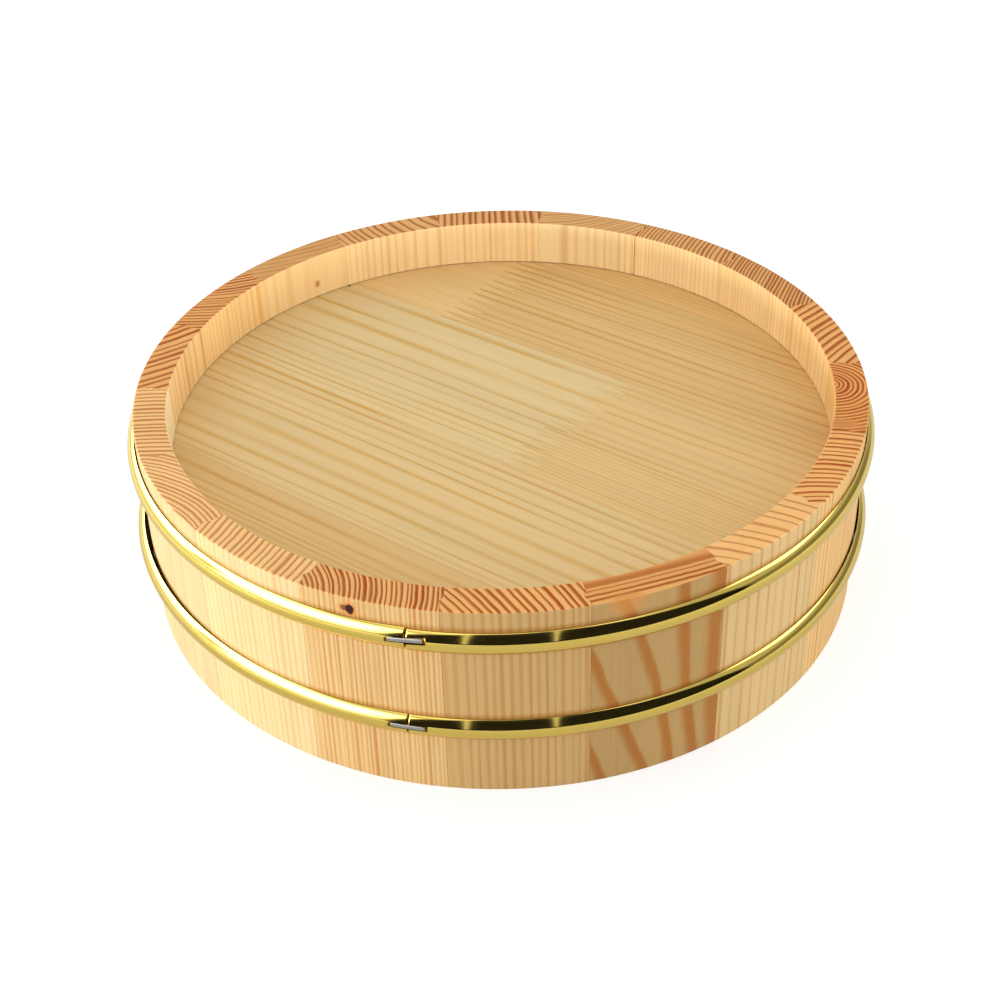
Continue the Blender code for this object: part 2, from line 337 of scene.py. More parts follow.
def strip_surface(low, high, start, end, sizes):
    """A piece of the board: a box of share along the grain x place across it x height.

    Each line across runs from the left edge to the right edge, which are the board's circle, or a finger
    joint's zigzag at the start or end. The box is then turned by the grain's angle.
    """
    radius = sizes.rim_radius - sizes.wall_thickness + sizes.groove_depth - FIT_GAP
    ease = sizes.glue_line
    reach = radius - BOARD_ROOM
    low = max(low + ease / 2, -reach)
    high = min(high - ease / 2, reach)
    breaks = [] if start is None and end is None else finger_breaks(low, high)
    inner = sorted({*np.round(np.linspace(low, high, 41)[1:-1], 7), *np.round(breaks, 7)})
    u = np.linspace(0, 1, 13)
    v = places(low, high, ease, inner, 1)
    w = places(sizes.board_bottom, sizes.board_top, ease, [], 1)
    points, faces = shell(u, v, w)
    share, across, height = points.T
    edge = np.sqrt(radius**2 - across**2)
    left = -edge if start is None else finger_edge(across, low, high, start, ease / 2)
    right = edge if end is None else finger_edge(across, low, high, end, -ease / 2)
    along = left + share * (right - left)
    easing = rounding(np.minimum(across - low, high - across), ease) / 2
    height = np.where(height > sizes.board_top - ease / 2, height - easing, height)
    x = along * cos(GRAIN_ANGLE) - across * sin(GRAIN_ANGLE)
    y = along * sin(GRAIN_ANGLE) + across * cos(GRAIN_ANGLE)
    return np.stack([x, y, height], axis=1), faces


def fade(share):
    """A smooth fall from 1 at share 0 to 0 at share 1."""
    share = np.clip(share, 0, 1)
    return 1 - share * share * (3 - 2 * share)


def hoop_crest(middle, sizes):
    """The outside radius of a hoop where it lies close to the wall."""
    return wall_radius(middle, sizes) + FIT_GAP + sizes.hoop_bulge


def stand_off(angle, slack):
    """How far a hoop stands off the wall: slack max(0, 2 |cos angle| - 1)^2, on its left and its right."""
    left, right = slack
    side = np.maximum(0, 2 * np.abs(np.cos(angle)) - 1)
    return side**2 * np.where(np.cos(angle) < 0, left, right)


def hoop_surface(hoop, middle, sizes):
    """A rounded band: a box of thickness x length x height, bent round the wall from the butt onwards.

    Its outside is an arc of radius R = (half^2 + bulge^2) / (2 bulge): with h from -1 to 1 over its height
    it is sqrt(R^2 - (half h)^2) - R + bulge thick, besides the edge. Where it stands off the wall, only the
    foot of its back still reaches it. Near the butt its first end rides half the step low and its last end
    half the step high. The flat map's second number is the place round the section, and past BACK_MARK it
    means the back.
    """
    wall = wall_radius(middle, sizes) + BACK_ROOM
    crest = hoop_crest(middle, sizes)
    around = tau * sizes.rim_radius - sizes.butt_gap
    half = sizes.hoop_height / 2
    ease = HOOP_END_EASE
    turns = np.sin(np.linspace(-pi / 2, pi / 2, SECTION_STEPS + 1))
    fine = CLOSE_ROWS * np.linspace(0, 1, 33)[1:-1] ** 1.2
    coarse = np.linspace(CLOSE_ROWS, around - CLOSE_ROWS, HOOP_STEPS)
    u = np.linspace(0, 1, 2)
    v = places(0, around, ease, [*fine, *coarse, *(around - fine[::-1])], 3)
    points, faces = shell(u, v, turns)
    depth, along, turn = points.T
    drawn_in = rounding(np.minimum(along, around - along), ease)
    angle = hoop.butt_angle + (sizes.butt_gap / 2 + along) / sizes.rim_radius
    off = stand_off(angle, hoop.slack)
    back = wall + off * np.clip((turn - LIP_START) / LIP_SPAN, 0, 1)
    arc = (half**2 + sizes.hoop_bulge**2) / (2 * sizes.hoop_bulge)
    share = (np.sqrt(arc**2 - (half * turn) ** 2) - arc) / sizes.hoop_bulge + 1
    front = wall + off + sizes.hoop_edge + (crest - wall - sizes.hoop_edge - drawn_in) * share
    radius = back + depth * (front - back)
    ease_length = END_STEP_EASE * sizes.rim_radius
    lift = hoop.end_step / 2 * (fade((around - along) / ease_length) - fade(along / ease_length))
    height = middle + lift + turn * (half - drawn_in)
    section = half * np.arcsin(turn) + np.where(depth < 0.5, 2 * BACK_MARK, 0)
    return on_ring(radius, angle, height), faces, np.stack([along, section], axis=1)


def bar_surface(hoop, size, ease, low_step, floor, middle, sizes):
    """A bar let into a hoop: a rounded box of depth x length x height, tilted, then bent round the tub.

    The low step lowers the bottom of its right half, which makes the slot for a key in uneven band ends.
    """
    tilt = hoop.key_tilt
    depth, across, tall = size
    near = 1e-5
    inner = [place for place in np.linspace(-across / 2, across / 2, 15)[1:-1] if abs(place) > near]
    u = places(0, depth, ease, [], 3)
    v = places(-across / 2, across / 2, ease, sorted([*inner, -near, near]), 3)
    w = places(-tall / 2, tall / 2, ease, [], 3)
    points, faces = shell(u, v, w)
    points = rounded(points, (0, -across / 2, -tall / 2), (depth, across / 2, tall / 2), ease)
    out, along, up = points.T
    up = np.where((along > 0) & (up < 0), up - low_step, up)
    angle = hoop.butt_angle + (along * cos(tilt) - up * sin(tilt)) / sizes.rim_radius
    place = middle + hoop.key_rise + along * sin(tilt) + up * cos(tilt)
    return on_ring(floor + out, angle, place), faces


# Node trees

# Lumps of noise in the wood, as (across, across, along the grain) in mm: what pushes the rings about slowly
# and quickly, where a ring comes and goes, single fibres, tracks of fibres, clouds, and pores
SLOW_LUMPS = (38, 38, 260)
QUICK_LUMPS = (5, 5, 70)
RING_LUMPS = (18, 18, 110)
FIBRES = (0.5, 0.5, 26)
TRACKS = (1.6, 1.6, 120)
CLOUDS = (15, 15, 210)
PORES = (0.45, 0.45, 3.0)

# How far noise pushes a ring about quickly, in mm, and how uneven the ring count is
QUICK_PUSH = 0.55
UNEVEN_COUNT = 1.1

# How much fibres, tracks, pores and clouds lighten and darken the wood
FIBRE_LIGHT = 0.16
TRACK_LIGHT = 0.14
PORE_LIGHT = 0.34
CLOUD_LIGHT = 0.5

# Where in a ring, as a share of it, the late wood is darkest
LATE_PEAK = 0.92


class Tree:
    """A node tree being built. Inputs are sockets or plain values, by name or number."""

    def __init__(self, tree):
        self.tree = tree

    def node(self, kind, inputs=None, **settings):
        made = self.tree.nodes.new(kind)
        for name, value in settings.items():
            setattr(made, name, value)
        for key, value in (inputs or {}).items():
            if isinstance(value, bpy.types.NodeSocket):
                self.tree.links.new(value, made.inputs[key])
            else:
                made.inputs[key].default_value = value
        return made

    def math(self, operation, *values):
        return self.node("ShaderNodeMath", dict(enumerate(values)), operation=operation).outputs[0]

    def times(self, first, second):
        return self.math("MULTIPLY", first, second)

    def times_plus(self, first, second, third):
        """first x second + third."""
        return self.math("MULTIPLY_ADD", first, second, third)

    def minus(self, first, second):
        return self.math("SUBTRACT", first, second)

    def vector(self, operation, *values):
        made = self.node("ShaderNodeVectorMath", dict(enumerate(values)), operation=operation)
        return made.outputs["Value" if operation in ("LENGTH", "DOT_PRODUCT") else "Vector"]

    def split(self, vector):
        return self.node("ShaderNodeSeparateXYZ", {0: vector}).outputs

    def join(self, x, y, z):
        return self.node("ShaderNodeCombineXYZ", {0: x, 1: y, 2: z}).outputs[0]

    def step(self, value, start, end, low=0.0, high=1.0):
        """A smooth step from low to high as the value goes from start to end."""
        inputs = {"Value": value, "From Min": start, "From Max": end, "To Min": low, "To Max": high}
        made = self.node("ShaderNodeMapRange", inputs, interpolation_type="SMOOTHSTEP")
        return made.outputs[0]

    def noise(self, vector, size, detail=1.0, name="Fac"):
        """Noise whose lumps are about as large as this (x, y, z) size."""
        scaled = self.vector("DIVIDE", vector, size)
        made = self.node("ShaderNodeTexNoise", {"Vector": scaled, "Scale": 1.0, "Detail": detail})
        return made.outputs[name]

    def wander(self, vector, size, detail=1.0):
        """Noise about zero, mostly between -0.5 and 0.5."""
        return self.minus(self.noise(vector, size, detail), 0.5)

    def chance(self, number):
        """A random number from 0 to 1 that stays the same for the same number."""
        return self.node("ShaderNodeTexWhiteNoise", {"W": number}, noise_dimensions="1D").outputs["Value"]

    def blend(self, share, first, second):
        made = self.node("ShaderNodeMix", {0: share, 6: first, 7: second}, data_type="RGBA")
        return made.outputs[2]

    def tint(self, colour, share, tint):
        """The colour, multiplied by the tint as far as the share says."""
        return self.vector("MULTIPLY", colour, self.blend(share, (1.0, 1.0, 1.0, 1.0), tint))

    def shade(self, colour, factor):
        """The colour, brightened or darkened by a factor."""
        return self.node("ShaderNodeVectorMath", {0: colour, "Scale": factor}, operation="SCALE").outputs[0]

    def link(self, output, entry):
        self.tree.links.new(output, entry)

    def seen_from(self, vector, origin, turn, scale):
        """The vector as seen from an origin that is turned by these angles and measures in this scale."""
        inputs = {"Vector": vector, "Location": origin, "Rotation": turn, "Scale": scale}
        return self.node("ShaderNodeMapping", inputs, vector_type="TEXTURE").outputs[0]

    def relief(self, shader, strength, depth, height):
        """Makes the surface uneven, by this depth where the height grows by 1."""
        inputs = {"Strength": strength, "Distance": depth, "Height": height}
        self.link(self.node("ShaderNodeBump", inputs).outputs[0], shader.inputs["Normal"])

    def group(self, group, inputs):
        return self.node("ShaderNodeGroup", inputs, node_tree=group).outputs


def new_group(name, inputs, outputs):
    """An empty node group with these (name, kind) sockets, and the tree, its inputs and its output node."""
    group = bpy.data.node_groups.new(name, "ShaderNodeTree")
    for in_out, sockets in (("INPUT", inputs), ("OUTPUT", outputs)):
        for socket, kind in sockets:
            group.interface.new_socket(socket, in_out=in_out, socket_type="NodeSocket" + kind)
    tree = Tree(group)
    return tree, tree.node("NodeGroupInput").outputs, tree.node("NodeGroupOutput")


def growth_ring_group():
    """Counts growth rings out from the pith. Place is in mm, with the pith along its Z axis.

    With d the distance from the pith, pushed about by noise, and D, w and p the given distance, ring width
    and crowding, the count is D / (p w) (d / D)^p, so that rings are w wide at D. Noise along the count
    makes them uneven.
    """
    names = ("Distance", "Ring width", "Crowding", "Wobble", "Seed")
    sockets = [("Place", "Vector"), *((name, "Float") for name in names)]
    tree, given, out = new_group("Growth rings", sockets, [("Rings", "Float"), ("Distance", "Float")])
    offset = tree.join(given["Seed"], given["Seed"], given["Seed"])
    spot = tree.vector("MULTIPLY_ADD", offset, (31.7, 17.9, 53.3), given["Place"])
    slow = tree.vector("SUBTRACT", tree.noise(spot, SLOW_LUMPS, 1.0, "Color"), (0.5, 0.5, 0.5))
    quick = tree.vector("SUBTRACT", tree.noise(spot, QUICK_LUMPS, 1.0, "Color"), (0.5, 0.5, 0.5))
    slow = tree.shade(slow, given["Wobble"])
    quick = tree.shade(quick, QUICK_PUSH)
    pushed = tree.vector("ADD", tree.vector("ADD", given["Place"], slow), quick)
    distance = tree.vector("LENGTH", tree.vector("MULTIPLY", pushed, (1, 1, 0)))
    ratio = tree.math("POWER", tree.math("DIVIDE", distance, given["Distance"]), given["Crowding"])
    rings = tree.math("DIVIDE", given["Distance"], tree.times(given["Crowding"], given["Ring width"]))
    count = tree.times(rings, ratio)
    along = tree.join(count, given["Seed"], 0.0)
    uneven = tree.times(tree.noise(along, (1.7, 1, 1)), UNEVEN_COUNT)
    tree.link(tree.math("ADD", count, uneven), out.inputs["Rings"])
    tree.link(distance, out.inputs["Distance"])
    return tree.tree


def softwood_group():
    """Softwood around a ring count. Each ring darkens over its late wood and ends more or less sharply.

    Rings differ in strength, and each comes and goes along the grain. Fibres streak the sides and speckle
    the ends. Place is in mm, with the grain along its Z axis.
    """
    colours = ("Pale", "Dark", "Pale end", "Dark end")
    numbers = ("Rings", "End grain", "Lines", "End lines", "Late wood", "Softness", "Fading", "Figure")
    sockets = [("Place", "Vector"), *((name, "Color") for name in colours)]
    sockets += [(name, "Float") for name in (*numbers, "Seed")]
    results = [("Colour", "Color"), ("Height", "Float"), ("Roughness", "Float")]
    tree, given, out = new_group("Softwood", sockets, results)
    seed = given["Seed"]
    spot = tree.vector("MULTIPLY_ADD", tree.join(seed, seed, seed), (13.1, 41.3, 29.9), given["Place"])
    share = tree.math("FRACT", given["Rings"])
    ring = tree.math("ADD", tree.math("FLOOR", given["Rings"]), tree.times(seed, 7.3))
    first_chance = tree.chance(ring)
    second_chance = tree.chance(tree.math("ADD", ring, 0.37))
    spread = tree.times_plus(first_chance, -0.5, 1.35)
    late_share = tree.times(given["Late wood"], spread)
    start = tree.minus(LATE_PEAK, late_share)
    rise = tree.step(share, start, tree.times_plus(late_share, -0.4, LATE_PEAK))
    fall = tree.step(share, tree.times_plus(given["Softness"], -0.3, 0.93), 1.0, 1.0, 0.0)
    firm = tree.times_plus(given["End grain"], 0.33, 0.55)
    strength = tree.math("ADD", firm, tree.times(second_chance, tree.minus(1.0, firm)))
    shifted = tree.vector("ADD", spot, tree.join(tree.times(ring, 9.0), 0.0, 0.0))
    here = tree.noise(shifted, RING_LUMPS)
    fading = tree.times(given["Fading"], tree.times_plus(given["End grain"], -0.8, 1.0))
    come_and_go = tree.step(here, 0.34, 0.62, tree.minus(1.0, fading), 1.0)
    late = tree.times(rise, fall)
    late = tree.times(late, tree.times(strength, come_and_go))
    fibre = tree.wander(spot, FIBRES, 2.0)
    tracks = tree.wander(spot, TRACKS, 2.0)
    cloud = tree.wander(spot, CLOUDS, 2.0)
    pores = tree.wander(spot, PORES, 2.0)

    side = tree.blend(tree.times(late, given["Lines"]), given["Pale"], given["Dark"])
    light = tree.times_plus(fibre, FIBRE_LIGHT, 1.0)
    light = tree.times_plus(tracks, TRACK_LIGHT, light)
    light = tree.times_plus(tree.times(cloud, given["Figure"]), CLOUD_LIGHT, light)
    side = tree.shade(side, light)

    end = tree.blend(tree.times(late, given["End lines"]), given["Pale end"], given["Dark end"])
    light = tree.times_plus(pores, PORE_LIGHT, 1.0)
    light = tree.times_plus(tree.times(cloud, given["Figure"]), CLOUD_LIGHT, light)
    end = tree.shade(end, light)

    tree.link(tree.blend(given["End grain"], side, end), out.inputs["Colour"])
    side_height = tree.times_plus(late, 0.5, fibre)
    end_height = tree.times_plus(late, 0.6, tree.times(pores, 2.0))
    height = tree.node("ShaderNodeMix", {0: given["End grain"], 2: side_height, 3: end_height}).outputs[0]
    tree.link(height, out.inputs["Height"])
    roughness = tree.times_plus(fibre, 0.12, 0.5)
    roughness = tree.times_plus(given["End grain"], 0.12, roughness)
    tree.link(tree.times_plus(late, -0.08, roughness), out.inputs["Roughness"])
    return tree.tree


def new_material(name):
    """A material, its tree and its surface shader."""
    material = bpy.data.materials.new(name)
    material.use_nodes = True
    return material, Tree(material.node_tree), material.node_tree.nodes["Principled BSDF"]


def tinted(colour, tone, warmth):
    """A colour times the tone. A warmth of 1 takes 12 percent off its green and 28 percent off its blue."""
    red, green, blue = colour
    warmed = (red * tone, green * tone * (1 - 0.12 * warmth), blue * tone * (1 - 0.28 * warmth))
    return (*(min(part, 0.95) for part in warmed), 1.0)


# Timber of the staves

# Where the pith of the log lies from the middle of the stave's end, counter-clockwise and outwards in mm,
# how wide its rings are in mm, how they crowd outwards, how light and how warm it is, how strong its lines
# are on the end and on the sides, how much of a ring is late wood, its seed, how far its outer and its
# inner face are painted lighter or darker beside the rest, as painted light and shade, the log's lean in
# degrees, how softly its lines end, and how far they fade on the way up
Timber = namedtuple(
    "Timber",
    "across out width crowding tone warmth end side late seed outer inner lean softness fading",
    defaults=(1.0, 1.0, 0, 0.2, 0.45),
)
TIMBERS = (
    Timber(-160, 110, 4.0, 1.2, 1.00, 0.8, 1.00, 0.7, 0.50, 1, 0.95, 0.90),
    Timber(-120, 80, 1.9, 1.0, 0.85, 0.5, 1.00, 0.6, 0.60, 2, 0.95, 1.12),
    Timber(-100, 20, 2.35, 1.7, 0.87, 0.3, 0.95, 0.6, 0.50, 3, 0.95, 1.13),
    Timber(40, 50, 3.0, 1.0, 0.85, 0.2, 0.55, 0.6, 0.40, 4, 0.95, 1.14),
    Timber(-200, 0, 3.6, 1.9, 0.89, 0.3, 1.00, 0.6, 0.55, 5, 0.95, 1.15),
    Timber(-60, 15, 4.3, 2.0, 0.88, 0.4, 0.90, 0.6, 0.45, 6, 0.95, 1.17),
    Timber(-50, 150, 4.0, 1.0, 0.80, 0.7, 0.40, 0.5, 0.50, 7, 0.95, 1.25),
    Timber(-70, 50, 2.7, 1.0, 0.92, 1.0, 0.95, 0.6, 0.50, 8, 0.95, 1.06),
    Timber(-160, 130, 4.4, 1.0, 0.98, 0.8, 1.00, 1.0, 0.50, 9, 0.85, 0.93),
    Timber(200, 35, 3.0, 1.0, 1.09, -0.6, 0.75, 0.4, 0.50, 10, 0.80, 0.86),
    Timber(27, 60, 2.2, 1.0, 1.13, -0.8, 0.70, 0.3, 0.55, 11, 0.76, 0.9),
    Timber(-150, 30, 3.0, 1.0, 1.11, -0.7, 0.75, 0.4, 0.45, 12, 0.87, 0.9),
    Timber(-50, 18, 2.0, 1.0, 1.00, 0.3, 1.00, 0.8, 0.62, 13, 0.93, 0.9),
    Timber(-174, 100, 3.0, 1.0, 1.03, 0.6, 1.00, 0.6, 0.50, 14, 0.72, 0.9),
    Timber(32, -750, 3.0, 1.0, 0.95, 0.9, 1.00, 0.8, 0.45, 15, 0.65, 0.9, 0, 0.2, 0.2),
    Timber(-90, 40, 5.0, 1.0, 1.08, 0.0, 0.65, 0.8, 0.30, 16, 0.80, 0.9),
    Timber(-60, 20, 3.3, 1.0, 1.04, 0.7, 1.00, 0.8, 0.50, 17, 0.94, 0.9),
    Timber(8, -9, 2.2, 0.9, 0.96, 1.5, 1.00, 0.7, 0.60, 18, 0.95, 0.83),
)

# The joints that stand open, by number, and how wide
OPEN_JOINTS = {3: 0.00035}

# How strong the lines inside the wall are beside those outside, how far noise pushes a stave's rings about
# slowly in mm, and how far where they are known one by one
INSIDE_LINES = 0.8
WOBBLE = 2.4
KNOWN_WOBBLE = 0.6

# How strong the clouds in the wood are, how high its relief stands, and how glossy it is
STAVE_FIGURE = 0.35
BOARD_FIGURE = 0.3
WOOD_RELIEF = 0.00012
WOOD_GLOSS = 0.1


# A knot or a speck: its solid, where its middle lies as radius in mm, azimuth in degrees and height in mm,
# how far it reaches outwards, along and upwards in mm, how strong its dark heart is, and how strong the
# warm halo round it
Mark = namedtuple("Mark", "node radius azimuth height reach heart halo")
MARKS = (
    Mark("stave_13", 165.2, -111.2, 88.4, (3.0, 1.9, 2.6), 1.0, 0.9),
    Mark("stave_13", 165.2, -112.0, 88.6, (3.0, 1.8, 1.4), 0.7, 0.9),
    Mark("stave_16", 165.2, -45.9, 82.3, (2.0, 0.7, 0.6), 1.0, 0.3),
    Mark("stave_07", 150.3, 128.25, 78.2, (2.0, 1.0, 1.3), 0.25, 0.8),
    Mark("board_strip_3_left", 150.0, 121.2, 70.8, (0.8, 0.8, 2.0), 1.0, 0.2),
    Mark("board_strip_3_left", 149.6, 165.2, 70.8, (0.6, 0.6, 2.0), 0.9, 0.2),
    Mark("stave_15", 165.2, -73.8, 92.0, (3.0, 4.5, 3.5), 0.0, 0.6),
    Mark("stave_15", 152.5, -69.0, 94.0, (4.5, 30.0, 2.0), 0.0, 0.35),
    Mark("stave_18", 154.5, -17.3, 94.0, (5.0, 2.6, 3.0), 0.1, 0.9),
)


# Where the growth rings of a stave lie, as distances from its pith in mm, where they are known one by one
KNOWN_RINGS = {"stave_15": (732.0, 747.6, 749.9, 752.9, 755.6)}


# A line of late wood that was sawn at a slant and crosses the outside of a stave as a broad stripe: how far
# it lies from the stave's middle at half height, its slope and its bend, and half its width, all in mm
Stripe = namedtuple("Stripe", "node middle slope bend half_width")
STRIPES = (
    Stripe("stave_15", -38.5, -15.0, 0.0, 2.3),
    Stripe("stave_15", -21.5, -15.9, 0.0, 2.3),
    Stripe("stave_15", -1.5, -11.0, -3.5, 2.2),
    Stripe("stave_15", 12.0, -4.2, 1.6, 2.6),
    Stripe("stave_15", 24.8, -1.2, 2.8, 3.4),
)
STRIPE_TINT = (0.86, 0.55, 0.34, 1.0)


def add_stripes(tree, colour, stripes, across, height, where):
    """Lays the broad stripes of a stave over its wood.

    With t the height from -1 at the foot to 1 at the rim, a stripe runs at middle + slope t + bend t^2. Its
    first edge is soft and its other one firm.
    """
    uneven = tree.wander(tree.join(across, height, 0.0), (9, 0.5, 1), 2.0)
    for stripe in stripes:
        run = tree.times_plus(height, stripe.bend, stripe.slope)
        run = tree.times_plus(run, height, stripe.middle)
        aside = tree.math("DIVIDE", tree.minus(across, run), stripe.half_width)
        aside = tree.times_plus(uneven, 1.0, aside)
        share = tree.times(tree.step(aside, -2.0, -0.2), tree.step(aside, 0.5, 1.3, 1.0, 0.0))
        share = tree.times(share, where)
        colour = tree.tint(colour, share, STRIPE_TINT)
    return colour


# Beside a hoop the wood is painted darker and warmer, as painted shade and the warm light the brass
# throws back: over what height above and below it, and by how much
HOOP_SHADE = (0.0032, 0.0012)
HOOP_TINT = (0.74, 0.57, 0.33, 1.0)


def add_hoop_shade(tree, colour, height, where, sizes):
    """Paints shade, warmed by the brass's reflected light, on the outside of a stave along both edges of
    each hoop.
    """
    above, below = HOOP_SHADE
    for which in HOOPS:
        low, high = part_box(f"hoop_{which}")
        middle = (low.z + high.z) / 2
        top = middle + sizes.hoop_height / 2
        foot = middle - sizes.hoop_height / 2
        over = tree.step(height, top, top + above, 1.0, 0.0)
        share = tree.times(over, tree.step(height, foot - below, foot))
        share = tree.times(share, where)
        colour = tree.tint(colour, share, HOOP_TINT)
    return colour


def add_marks(tree, colour, node, colours):
    """Lays the knots and specks of a solid over its wood. Each is an ellipsoid with an uneven edge."""
    place = tree.node("ShaderNodeTexCoord").outputs["Object"]
    hearts = []
    for mark in MARKS:
        if mark.node != node:
            continue
        angle = radians(mark.azimuth)
        centre = (mark.radius * cos(angle), mark.radius * sin(angle), mark.height)
        origin = [number * MM for number in centre]
        spot = tree.seen_from(place, origin, (0.0, 0.0, angle), [number * MM for number in mark.reach])
        uneven = tree.wander(tree.vector("ADD", spot, centre), (0.7, 0.7, 0.7), 2.0)
        distance = tree.times_plus(uneven, 0.45, tree.vector("LENGTH", spot))
        hearts.append(tree.step(distance, 0.7, 1.15, mark.heart, 0.0))
        colour = tree.blend(tree.step(distance, 0.8, 2.2, mark.halo, 0.0), colour, (*colours.halo, 1.0))
    for heart in hearts:
        colour = tree.blend(heart, colour, (*colours.knot, 1.0))
    return colour


def finish_wood(tree, shader, wood, colour, node, colours):
    """Leads the colour and a wood group's other results to the shader, its height as a fine relief."""
    tree.link(add_marks(tree, colour, node, colours), shader.inputs["Base Color"])
    tree.link(wood["Roughness"], shader.inputs["Roughness"])
    tree.relief(shader, 0.35, WOOD_RELIEF, wood["Height"])
    shader.inputs["Specular IOR Level"].default_value = WOOD_GLOSS


def stave_material(node, number, growth, softwood, sizes, colours):
    """The timber of one stave, cut from its own log."""
    timber = TIMBERS[number]
    material, tree, shader = new_material(node + "_wood")
    angle = FIRST_JOINT_ANGLE + (number + 0.5) * STAVE_ANGLE
    middle = sizes.rim_radius - sizes.wall_thickness / 2
    out = middle + timber.out * MM
    pith = (
        out * cos(angle) - timber.across * MM * sin(angle),
        out * sin(angle) + timber.across * MM * cos(angle),
        sizes.tub_height / 2,
    )
    coordinates = tree.node("ShaderNodeTexCoord").outputs
    turn = (0.0, radians(timber.lean), angle)
    place = tree.seen_from(coordinates["Object"], pith, turn, (MM, MM, MM))
    grown = tree.group(growth, {
        "Place": place,
        "Distance": hypot(timber.across, timber.out),
        "Ring width": timber.width,
        "Crowding": timber.crowding,
        "Wobble": KNOWN_WOBBLE if node in KNOWN_RINGS else WOBBLE,
        "Seed": float(timber.seed),
    })
    rings = grown["Rings"]
    if node in KNOWN_RINGS:
        rings = ring_count_at(tree, grown["Distance"], KNOWN_RINGS[node])
    stripes = [stripe for stripe in STRIPES if stripe.node == node]
    outside_lines = 0.0 if stripes else 1.0
    upward = tree.math("ABSOLUTE", tree.split(coordinates["Normal"])["Z"])
    radius = tree.vector("LENGTH", tree.vector("MULTIPLY", coordinates["Object"], (1, 1, 0)))
    outside = tree.step(radius, middle, middle + MM)
    # The outer and inner factors paint light and shade on each face, and the inside takes the lighter
    # colours of painted light
    pale = tinted(colours.pale_side, timber.tone * timber.outer, timber.warmth)
    lit_inner_pale = tinted(colours.lit_inner_side, timber.tone * timber.inner, timber.warmth)
    dark = tinted(colours.dark_side, timber.tone * (1 + timber.outer) / 2, timber.warmth)
    lit_inner_late = tinted(colours.lit_inner_late, timber.tone * timber.inner, timber.warmth)
    end_grain = tree.step(upward, 0.45, 0.85)
    shown = tree.times_plus(outside, outside_lines - INSIDE_LINES, INSIDE_LINES)
    wood = tree.group(softwood, {
        "Place": place,
        "Rings": rings,
        "End grain": end_grain,
        "Pale": tree.blend(outside, lit_inner_pale, pale),
        "Dark": tree.blend(outside, lit_inner_late, dark),
        "Pale end": tinted(colours.pale_end, timber.tone, timber.warmth),
        "Dark end": tinted(colours.dark_end, timber.tone, timber.warmth),
        "Lines": tree.times(shown, timber.side),
        "End lines": timber.end,
        "Late wood": timber.late,
        "Softness": timber.softness,
        "Fading": timber.fading,
        "Figure": STAVE_FIGURE,
        "Seed": float(timber.seed),
    })
    where = tree.times(outside, tree.minus(1.0, end_grain))
    colour = add_hoop_shade(tree, wood["Colour"], tree.split(coordinates["Object"])["Z"], where, sizes)
    if stripes:
        _, aside, up = tree.split(place)
        across = tree.math("ADD", aside, timber.across)
        height = tree.times(up, 2 * MM / sizes.tub_height)
        colour = add_stripes(tree, colour, stripes, across, height, where)
    finish_wood(tree, shader, wood, colour, node, colours)
    return material


# Timber of the board

# A strip of the board: its solid, its edges across the grain in mm, where a finger joint starts or ends it
# along the grain in mm, how light and how warm it is, how strong its lines are, how much of a ring is late
# wood, its seed, and the places across the grain of its growth rings in mm
Strip = namedtuple("Strip", "node low high start end tone warmth lines late seed rings")
STRIPS = (
    Strip("board_strip_1", -154.0, -100.0, None, None, 0.94, 0.3, 0.75, 0.5, 1,
          (-150, -145, -139, -134, -130, -127, -124, -121, -118, -113, -106)),
    Strip("board_strip_2", -100.0, -30.0, None, None, 1.0, -0.3, 0.85, 0.4, 2,
          (-97, -93, -84, -76, -66, -57, -50, -45, -38, -33)),
    Strip("board_strip_3_left", -30.0, 58.0, None, 29.0, 0.98, -0.6, 0.95, 0.35, 3,
          (-27, -23, -19, -15, -10, -5, 3, 8.5, 17, 30, 39, 54)),
    Strip("board_strip_3_right", -30.0, 58.0, 29.0, None, 0.98, 0.1, 0.6, 0.5, 4,
          (-28, -25.5, -23, -21, -18.5, -16, -14, -11.5, -9, -7, -4.5, -2, 0.5, 3, 6, 10, 15, 21, 27, 33, 39,
           45, 50, 55)),
    Strip("board_strip_4_left", 58.0, 131.0, None, -72.5, 1.04, 0.2, 0.25, 0.4, 5,
          (62, 70, 79, 90, 101, 112, 122)),
    Strip("board_strip_4_right", 58.0, 131.0, -72.5, None, 0.93, 0.45, 0.8, 0.4, 6,
          (59, 64, 69, 73, 80, 87, 92, 97, 100, 103, 107, 111, 116, 122, 127)),
    Strip("board_strip_5", 131.0, 154.0, None, None, 1.02, 0.3, 0.5, 0.5, 7,
          (133, 136, 139, 142, 145, 149)),
)

# Lumps of noise that push the board's rings about slowly and quickly, as (across, across, along the grain)
# in mm, how far they push, and how far the rings lean aside with height
BOARD_LUMPS = ((30, 30, 170), (3.5, 8, 45))
BOARD_PUSH = (3.0, 0.8)
BOARD_LEAN = 0.35


def ring_count_at(tree, across, rings):
    """A ring count that passes a whole number just beyond each of these places across the grain."""
    span = (rings[0] - 12.0, rings[-1] + 12.0)
    most = len(rings) + 2.0
    share = tree.math("DIVIDE", tree.minus(across, span[0]), span[1] - span[0])
    node = tree.node("ShaderNodeFloatCurve", {"Value": share})
    curve = node.mapping.curves[0]
    for number, place in enumerate(rings):
        curve.points.new((place - span[0]) / (span[1] - span[0]), (number + 1.9) / most)
    curve.points[0].location = (0.0, 0.9 / most)
    curve.points[-1].location = (1.0, (len(rings) + 1.9) / most)
    for point in curve.points:
        point.handle_type = "AUTO_CLAMPED"
    node.mapping.update()
    return tree.times(node.outputs[0], most)


